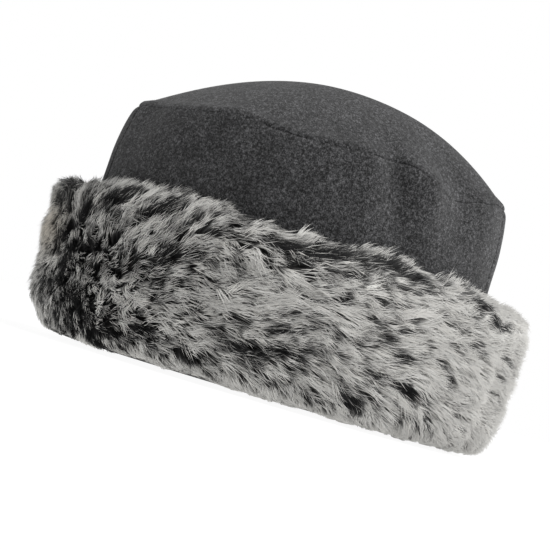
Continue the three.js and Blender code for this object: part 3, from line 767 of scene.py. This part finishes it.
def strands(rng):
    """Every hair of the pile, in arrays, shortened where it would reach under its own lowest height.
    How pale it is sums the marks (dark hair and painted shade in partings, or pale drifts), which some
    hairs skip, drifts, the left end's painted shade, the pale foot, softness and chance, and its tone
    sums chance, the top's and left end's painted shades, marks and drifts."""
    tuft = tufts(rng)
    varies = HAIR_VARIES
    of = np.repeat(np.arange(len(tuft["degrees"])), HAIRS_IN_TUFT)
    count = len(of)
    far = np.sqrt(rng.random(count)) * TUFT_REACH
    hair = {
        **{key: tuft[key][of] for key in ("degrees", "along", "gather")},
        "turn": rng.uniform(0, 2 * math.pi, count),
        "far": far,
        "run": np.radians(tuft["run"][of] + rng.normal(0, varies["run"], count)),
        "length": tuft["length"][of] * rng.uniform(*varies["length"], count),
        "bend": tuft["bend"][of] + rng.normal(0, varies["bend"], count),
        "lift": tuft["lift"][of] + rng.normal(0, varies["lift"], count) + 0.8 * (1 - far / TUFT_REACH),
        "fringe": rng.normal(*varies["fringe"], count),
        "least": tuft["foot"][of] + varies["foot"] * np.sqrt(rng.random(count)),
    }
    hair = {key: value[:, None] for key, value in hair.items()}
    degrees, along, lift, least = lying(hair)
    level = line_at(along)[1] - line_at(along)[2] * lift
    over = (level[:, 0] - least[:, 0]) / np.maximum(level[:, 0] - level[:, -1], 0.1)
    sinks = level[:, -1] < least[:, -1]
    hair["length"] = hair["length"] * np.where(sinks, np.clip(over, 0.3, 1), 1)[:, None]
    degrees, along, lift, least = lying(hair)
    height = line_at(along)[1]
    skips = np.where(rng.random(count) < MARKS_SKIPPED, 0.2, rng.uniform(0.7, 1.05, count))[:, None]
    soft = softness(degrees)
    # Dark marks paint the hair darker: partly its own dark hair, partly painted shade of partings.
    paler = marked(degrees, height) * skips * (1 - 0.3 * soft)
    where = (1, 1, soft, near(degrees, *BACK))
    drift = sum(strong * share * cloudy(degrees / 360, height / DRIFT_TALL, *cells)
                for (strong, *cells), share in zip(DRIFTS, where))
    left_shade = -LEFT_SHADE * past(-turned(degrees), *LEFT_SHADE_FROM)
    foot_pale = FOOT_PALE * (1 - past(height, *FOOT_PALE_UP)) * (turned(degrees) > FOOT_PALE_RIGHT_OF)
    pale = PALENESS + paler + drift + left_shade + foot_pale + SOFT_PALENESS * soft
    pale += (TUFT_PALENESS * tuft["tone"][of] + rng.normal(0, HAIR_PALENESS, count))[:, None]
    own_tone = (TUFT_TONE * tuft["tone"][of] + rng.normal(0, HAIR_TONE, count))[:, None]
    tone = 0.5 + (1 - 0.6 * soft) * own_tone
    tone = tone - TOP_SHADE * (1 - 0.4 * soft) * past(height, *TOP_SHADE_UP) + 0.8 * left_shade
    tone = tone + 0.35 * np.clip(paler, -soft, 1) + soft * drift
    warmth = TAN * near(degrees, *TAN_ROUND) * bell(height - TAN_HEIGHT, TAN_TALL)
    warmth = warmth + rng.normal(0.08, 0.08, (count, 1))
    root_grey = softness(degrees, "grey") * (1 - np.clip(-1.5 * paler, 0, 1))
    return {
        "path": fur_point(degrees, along, lift, least),
        "outwards": fur_point(degrees[:, 1], along[:, 1], lift[:, 1] + 1, least[:, 1]),
        "root_degrees": turned(tuft["degrees"][of]),
        "pale_from": np.clip(TURN_AT - pale, 0.05, 1.2),
        "tone": np.clip(tone, 0, 1),
        "warmth": np.clip(warmth, 0, 1),
        "root_grey": root_grey,
        "radius": HAIR_RADIUS * rng.uniform(*varies["radius"], count),
    }


def hair_piece(name, hair, chosen, material):
    """One closed three-sided tube for each chosen hair: a ring at each station but the last, square
    to the path, a cap at the root and a point at the tip. Its normals are those of a round hair times
    the roundness, plus the pile's own normal, so that the pile is lit softly as a whole."""
    path = hair["path"][chosen]
    count, stations = path.shape[:2]
    rings = stations - 1
    ahead = np.diff(path, axis=1)
    ahead[:, 1:] += ahead[:, :-1]
    ahead = unit(ahead)
    outwards = (hair["outwards"][chosen] - path[:, 1])[:, None, :]
    side = unit(np.cross(outwards, ahead))
    over = np.cross(ahead, side)
    pile_normal = unit(outwards)
    radius = hair["radius"][chosen][:, None, None] * TAPER[None, :, None]
    corner_turns = np.radians([90, 210, 330])
    rounds = [math.cos(a) * side + math.sin(a) * over for a in corner_turns]
    normals = np.stack([pile_normal + ROUNDNESS * away for away in rounds], axis=2)
    normals = unit(np.concatenate([normals.reshape(count, 3 * rings, 3), pile_normal], axis=1))
    over *= HAIR_FLATNESS
    loops = [path[:, :rings] + radius * (math.cos(a) * side + math.sin(a) * over) for a in corner_turns]
    loops = np.stack(loops, axis=2).reshape(count, 3 * rings, 3)
    points = np.concatenate([loops, path[:, -1:]], axis=1)
    each = points.shape[1]
    first = (np.arange(count) * each)[:, None]
    walls = [[3 * r + k, 3 * r + (k + 1) % 3, 3 * r + 3 + (k + 1) % 3, 3 * r + 3 + k]
             for r in range(rings - 1) for k in range(3)]
    last = 3 * rings - 3
    ends = [[0, 2, 1]] + [[last + k, last + (k + 1) % 3, each - 1] for k in range(3)]
    quads = (first[:, None] + np.array(walls)).reshape(-1, 4)
    triangles = (first[:, None] + np.array(ends)).reshape(-1, 3)
    piece = new_piece(name, points.reshape(-1, 3), [quads, triangles], material)
    piece.data.normals_split_custom_set_from_vertices(normals.reshape(-1, 3))
    values = {"root_to_tip": np.tile(np.append(np.repeat(STATIONS[:-1], 3), 1), count)}
    station = np.append(np.repeat(np.arange(rings), 3), rings)
    for key in ("pale_from", "tone", "warmth", "root_grey"):
        values[key] = hair[key][chosen][:, station]
    set_values(piece, values)
    return piece


class Finish:
    """A material whose nodes are added and linked by short calls."""

    def __init__(self, name):
        self.material = bpy.data.materials.new(name)
        self.material.use_nodes = True
        self.tree = self.material.node_tree
        self.surface = self.tree.nodes["Principled BSDF"]

    def give(self, entry, value):
        """Puts a number, a colour or a link into a socket."""
        if isinstance(value, (int, float)):
            entry.default_value = value
        elif isinstance(value, tuple):
            entry.default_value = (*value, 1)
        else:
            self.tree.links.new(value, entry)

    def set(self, **values):
        """Gives the shader's own sockets what is the same all over the surface, or a link."""
        for key, value in values.items():
            self.give(self.surface.inputs[key.replace("_", " ")], value)

    def node(self, kind, *given, **settings):
        """A node with its settings, and numbers, colours or links for its first open sockets."""
        made = self.tree.nodes.new(kind)
        for key, value in settings.items():
            setattr(made, key, value)
        for entry, value in zip([s for s in made.inputs if s.enabled], given):
            self.give(entry, value)
        return made

    def attribute(self, name):
        """A value that set_values put into the piece's mesh."""
        return self.node("ShaderNodeAttribute", attribute_name=name).outputs["Fac"]

    def noise(self, scale, detail, stretch=(1, 1, 1), roughness=0.5):
        """Noise over the piece's own place, with its grain stretched where a factor is under one."""
        place = self.node("ShaderNodeTexCoord").outputs["Object"]
        mapping = self.node("ShaderNodeMapping", place)
        mapping.inputs["Scale"].default_value = stretch
        noise = self.node("ShaderNodeTexNoise", mapping.outputs["Vector"], scale, detail, roughness)
        return noise.outputs["Fac"]

    def spread(self, value, low, high, to_low, to_high, smooth=False):
        """A value brought from one range to another and held inside it."""
        way = "SMOOTHSTEP" if smooth else "LINEAR"
        node = self.node("ShaderNodeMapRange", value, low, high, to_low, to_high, interpolation_type=way)
        return node.outputs["Result"]

    def combine(self, first, second, operation="ADD"):
        """One number from two numbers or links."""
        return self.node("ShaderNodeMath", first, second, operation=operation).outputs["Value"]

    def ramp(self, value, stops):
        """Colour from a list of places and colours."""
        node = self.node("ShaderNodeValToRGB", value)
        band = node.color_ramp.elements
        while len(band) < len(stops):
            band.new(0.5)
        for element, (place, colour) in zip(band, stops):
            element.position = place
            element.color = (*colour, 1)
        return node.outputs["Color"]

    def mix(self, share, first, second, blend="MIX"):
        """Colour that goes from the first towards the second by a share."""
        node = self.node("ShaderNodeMix", share, first, second, data_type="RGBA", blend_type=blend)
        return next(s for s in node.outputs if s.enabled)

    def bump(self, height, distance, strength):
        """Relief over the whole surface, worked from a height."""
        node = self.node("ShaderNodeBump", strength, distance)
        self.give(node.inputs["Height"], height)
        self.set(Normal=node.outputs["Normal"])


def charcoal_fleece():
    """Melton: charcoal wool with paler and darker fibres felted through it, and a short matt nap."""
    finish = Finish("charcoal_fleece")
    fibres = finish.noise(1600, 3, (1, 0.5, 0.85), 0.7)
    flecks = finish.noise(700, 2, (1, 0.5, 0.9))
    clouds = finish.noise(60, 4)
    parts = [finish.combine(part, share, "MULTIPLY") for part, share in ((fibres, 0.66), (flecks, 0.34))]
    heather = finish.combine(*parts)
    wool = finish.ramp(heather, [
        (0.375, (0.0025, 0.0025, 0.0026)), (0.46, (0.0205, 0.0205, 0.0213)),
        (0.54, (0.054, 0.054, 0.0558)), (0.625, (0.13, 0.13, 0.134)),
    ])
    tone = finish.spread(clouds, 0.3, 0.7, 0.74, 1.18)
    shaded = finish.mix(1, wool, tone, "MULTIPLY")
    finish.set(Base_Color=shaded, Roughness=0.95, Specular_IOR_Level=0.15)
    finish.set(Sheen_Weight=0.12, Sheen_Roughness=0.6)
    finish.bump(heather, 0.0006, 0.85)
    return finish.material


def dark_undercoat():
    """The dense woolly base of the fur, nearly black, with brown and grey flecks."""
    finish = Finish("dark_undercoat")
    wool = finish.noise(700, 4, (1, 1, 0.6), 0.6)
    colour = finish.ramp(wool, [
        (0.35, (0.004, 0.004, 0.0045)), (0.6, (0.022, 0.021, 0.021)), (0.8, (0.07, 0.066, 0.06)),
    ])
    grey = finish.ramp(wool, [(0.3, (0.10, 0.099, 0.096)), (0.7, (0.34, 0.335, 0.32))])
    coloured = finish.mix(finish.attribute("pale"), colour, grey)
    finish.set(Base_Color=coloured, Roughness=0.9, Specular_IOR_Level=0.1)
    finish.bump(wool, 0.001, 0.6)
    return finish.material


def frosted_hair():
    """Hair that is black at the root and turns through grey to cream at the tip. Where it turns is
    each hair's own, and so are its tone and how tan it is."""
    finish = Finish("frosted_hair")
    uneven = finish.spread(finish.noise(260, 2), 0.3, 0.7, -0.08, 0.08)
    place = finish.combine(finish.attribute("root_to_tip"), uneven)
    pale_from = finish.attribute("pale_from")
    start = finish.combine(pale_from, 0.2, "SUBTRACT")
    end = finish.combine(pale_from, 0.42)
    turn = finish.spread(place, start, end, 0, 1, smooth=True)
    grey = finish.ramp(turn, [
        (0, (0.006, 0.006, 0.0065)), (0.35, (0.055, 0.054, 0.054)), (0.7, (0.28, 0.277, 0.268)),
        (1, (0.74, 0.733, 0.707)),
    ])
    soft_grey = finish.ramp(turn, [
        (0, (0.07, 0.0693, 0.068)), (0.35, (0.145, 0.1435, 0.14)), (0.7, (0.272, 0.2688, 0.26)),
        (1, (0.515, 0.509, 0.488)),
    ])
    grey = finish.mix(finish.attribute("root_grey"), grey, soft_grey)
    tan = finish.mix(1, grey, (0.84, 0.76, 0.64), "MULTIPLY")
    warm = finish.mix(finish.spread(finish.attribute("warmth"), 0, 1, 0, 0.7), grey, tan)
    tone = finish.spread(finish.attribute("tone"), 0, 1, 0.6, 1.35)
    toned = finish.mix(1, warm, tone, "MULTIPLY")
    finish.set(Base_Color=toned, Roughness=0.7, Specular_IOR_Level=0.18, Sheen_Weight=0.1)
    return finish.material


def studio_floor():
    """A plain floor that is nearly white by its own glow, so that the hat's shadow on it stays faint."""
    finish = Finish("studio_floor")
    finish.set(Base_Color=(0.1, 0.1, 0.1), Roughness=0.9, Specular_IOR_Level=0.1)
    finish.set(Emission_Color=(1, 1, 1), Emission_Strength=0.94)
    return finish.material


# The camera stands close to the floor and looks slightly up at the hat, which it shows turned.
PHOTO_SIDE = 550
FOCAL = 2001
SENSOR = 36
AIM = (-6.8, 0, 60.5)
EYE_DISTANCE = 1000
EYE_ELEVATION = -2
HAT_TURNED = 16.5
FILL_LIGHT = 0.38
KEY_LIGHT = {"towards": (0.62, -0.22, 0.75), "strength": 3.4, "spread": 50}
FLOOR_HALF_SIDE = 2600


def camera():
    """Looks along +Y at the aim, with its up direction turned left so that the hat shows turned."""
    data = bpy.data.cameras.new("camera")
    data.sensor_width = SENSOR
    data.lens = FOCAL / PHOTO_SIDE * SENSOR
    data.clip_start, data.clip_end = 0.05, 30
    rise = math.radians(EYE_ELEVATION)
    look = Vector((0, math.cos(rise), -math.sin(rise)))
    upright = Vector((0, math.sin(rise), math.cos(rise)))
    level = Vector((1, 0, 0))
    roll = math.radians(HAT_TURNED)
    up = upright * math.cos(roll) - level * math.sin(roll)
    right = level * math.cos(roll) + upright * math.sin(roll)
    eye = (Vector(AIM) - look * EYE_DISTANCE) * MM
    turn = Matrix((right, up, -look)).transposed().to_4x4()
    made = placed("camera", data)
    made.matrix_world = Matrix.Translation(eye) @ turn
    bpy.context.scene.camera = made


def sun(name, towards, strength, spread):
    """A soft distant light that shines from a direction, its disc spread over so many degrees."""
    data = bpy.data.lights.new(name, "SUN")
    data.energy = strength
    data.angle = math.radians(spread)
    placed(name, data).rotation_euler = Vector(towards).to_track_quat("Z", "Y").to_euler()


def studio():
    """A white room: even fill from all round, a soft key from the upper right, and a pale floor."""
    world = bpy.data.worlds.new("white_room")
    bpy.context.scene.world = world
    world.use_nodes = True
    nodes, links = world.node_tree.nodes, world.node_tree.links
    background = nodes["Background"]
    background.inputs["Color"].default_value = (1, 1, 1, 1)
    seen = nodes.new("ShaderNodeLightPath")
    strength = nodes.new("ShaderNodeMapRange")
    strength.inputs["To Min"].default_value = FILL_LIGHT
    strength.inputs["To Max"].default_value = 1
    links.new(seen.outputs["Is Camera Ray"], strength.inputs["Value"])
    links.new(strength.outputs["Result"], background.inputs["Strength"])
    sun("key_light", **KEY_LIGHT)
    corners = np.array([(-1, -1, 0), (1, -1, 0), (1, 1, 0), (-1, 1, 0)]) * FLOOR_HALF_SIDE
    floor = new_piece("floor", corners, [np.array([[0, 1, 2, 3]])], studio_floor())
    bpy.context.scene.view_settings.view_transform = "Standard"


def dress(piece, slot, *nodes):
    """Puts a finished piece on the hat's one body, for the nodes that it stands for."""
    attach(piece, "root")
    if nodes:
        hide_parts(*nodes)
    return piece


camera()
studio()

fleece = charcoal_fleece()
front_band = band_panel("front_band_cloth", CROWN_SEAMS[0], CROWN_SEAMS[1], 180, 50, fleece)
back_band = band_panel("back_band_cloth", CROWN_SEAMS[1], CROWN_SEAMS[0] + 360, 200, 40, fleece)
tip = crown_tip_piece(240, 34, fleece)
dress(front_band, "fleece", "crown_front_panel")
dress(back_band, "fleece", "crown_back_panel")
dress(tip, "fleece", "crown_tip")

undercoat = dark_undercoat()
front_body = cuff_body("front_fur_body", CUFF_SEAMS[0], CUFF_SEAMS[1], 140, undercoat)
back_body = cuff_body("back_fur_body", CUFF_SEAMS[1], CUFF_SEAMS[0] + 360, 180, undercoat)
dress(front_body, "fur", "cuff_front_fur")
dress(back_body, "fur", "cuff_back_fur")

hair_finish = frosted_hair()
hair = strands(np.random.default_rng(17))
sector = (np.mod(hair["root_degrees"], 360) / 360 * PILE_PIECES).astype(int)
for number in range(PILE_PIECES):
    pile = hair_piece(f"fur_pile_{number + 1}", hair, np.flatnonzero(sector == number), hair_finish)
    dress(pile, "fur")
